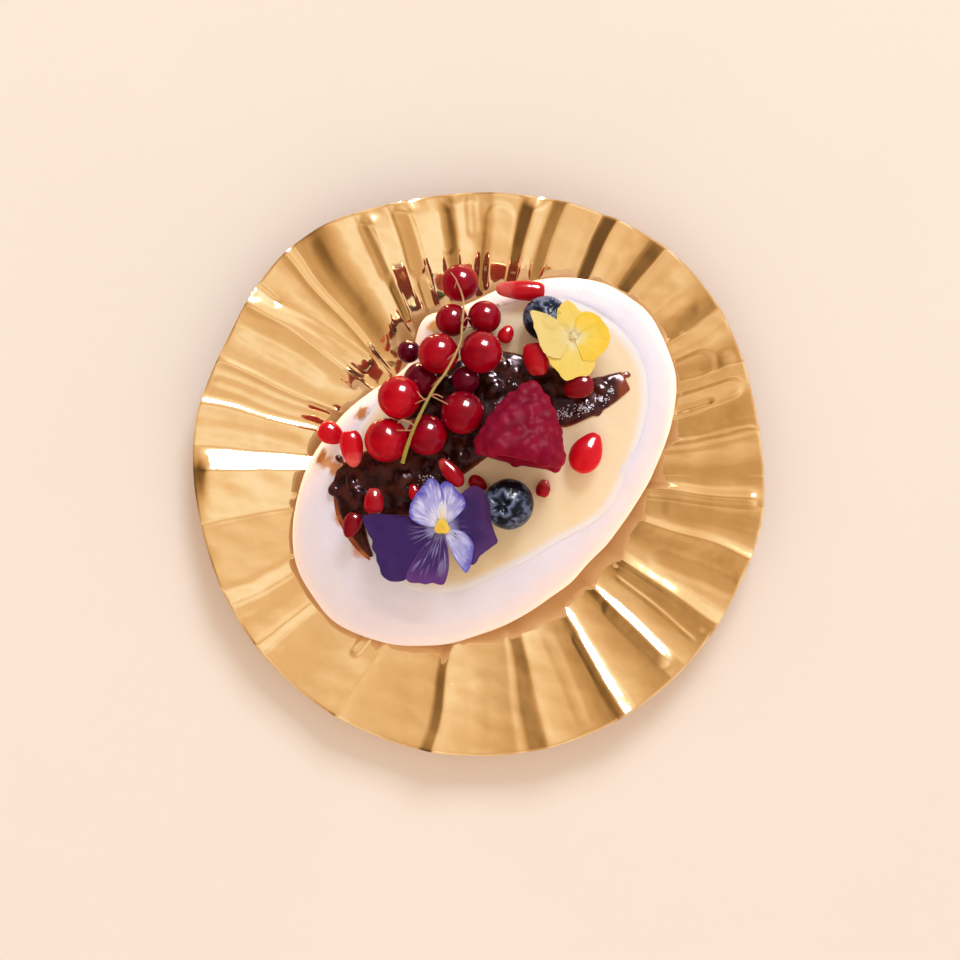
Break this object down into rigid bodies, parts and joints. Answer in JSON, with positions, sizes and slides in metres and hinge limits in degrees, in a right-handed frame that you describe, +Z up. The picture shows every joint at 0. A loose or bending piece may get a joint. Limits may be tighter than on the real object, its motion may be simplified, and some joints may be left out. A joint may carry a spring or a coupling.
{
  "type": "pavlova on a plate",
  "caption": "Oval meringue filled with custard cream and dark compote, topped with red berries, seeds and edible flowers, on a fluted gold plate.",
  "frame": {"origin": "middle of the flat foot under the plate, where it rests on a table", "axes": "+Z up; +X and +Y lie in the table, and the long axis of the meringue is turned 38 degrees from +X towards +Y"},
  "size_m": [0.1594, 0.157, 0.0467],
  "materials": {
    "gold_glaze": "mirror-bright gold glaze on thin fluted ceramic",
    "meringue_shell": "baked meringue, dry and satin",
    "custard": "thick smooth custard cream, satin",
    "compote": "dark sticky berry compote, wet gloss",
    "currant_skin": "clear red currant skin, high gloss",
    "stalk": "thin straw-green fruit stalk",
    "seed_flesh": "juicy translucent red seed flesh, gloss",
    "raspberry_skin": "soft downy raspberry drupelets",
    "blueberry_skin": "dark blue skin with a waxy bloom",
    "viola_petal": "soft matt purple petals",
    "yellow_petal": "soft matt yellow petals"
  },
  "bodies": {
    "root": {"plate": "gold_glaze", "meringue": "meringue_shell", "custard_cream": "custard", "berry_compote": "compote", "currant_01": "currant_skin", "currant_02": "currant_skin", "currant_03": "currant_skin", "currant_04": "currant_skin", "currant_05": "currant_skin", "currant_06": "currant_skin", "currant_07": "currant_skin", "currant_08": "currant_skin", "currant_09": "currant_skin", "currant_10": "currant_skin", "currant_11": "currant_skin", "currant_12": "currant_skin", "currant_stalk": "stalk", "blueberry_1": "blueberry_skin", "blueberry_2": "blueberry_skin", "raspberry": "raspberry_skin", "seed_01": "seed_flesh", "seed_02": "seed_flesh", "seed_03": "seed_flesh", "seed_04": "seed_flesh", "seed_05": "seed_flesh", "seed_06": "seed_flesh", "seed_07": "seed_flesh", "seed_08": "seed_flesh", "seed_09": "seed_flesh", "seed_10": "seed_flesh", "seed_11": "seed_flesh", "seed_12": "seed_flesh", "seed_13": "seed_flesh", "viola": "viola_petal", "yellow_flower": "yellow_petal"}
  },
  "joints": []
}
